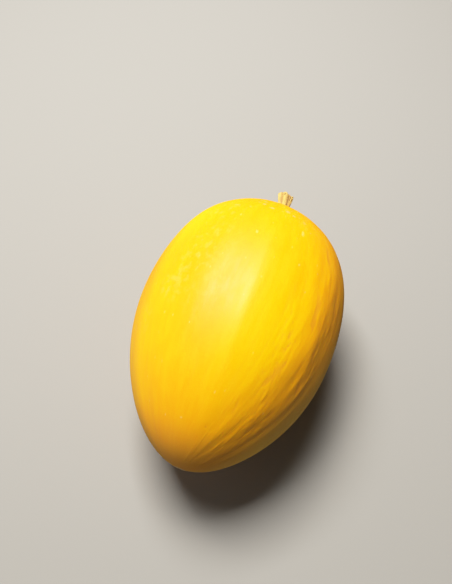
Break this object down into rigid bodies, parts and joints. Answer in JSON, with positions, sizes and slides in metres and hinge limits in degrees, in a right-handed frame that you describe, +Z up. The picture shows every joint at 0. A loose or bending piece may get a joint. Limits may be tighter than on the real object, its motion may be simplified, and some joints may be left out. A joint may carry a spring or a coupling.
{
  "type": "canary melon",
  "caption": "Ripe yellow canary melon, an egg-shaped fruit with a smooth, faintly wrinkled waxy rind and a short dried stalk, lying on its side.",
  "frame": {"origin": "centre of the small flat spot on the underside, on which the melon rests", "axes": "+Y is the level direction in which the stalk points, +Z up"},
  "size_m": [0.145, 0.2264, 0.1447],
  "materials": {
    "rind": "satin, waxy",
    "stalk": "dry, rough"
  },
  "bodies": {
    "root": {"melon": "rind", "stalk": "stalk"}
  },
  "joints": []
}
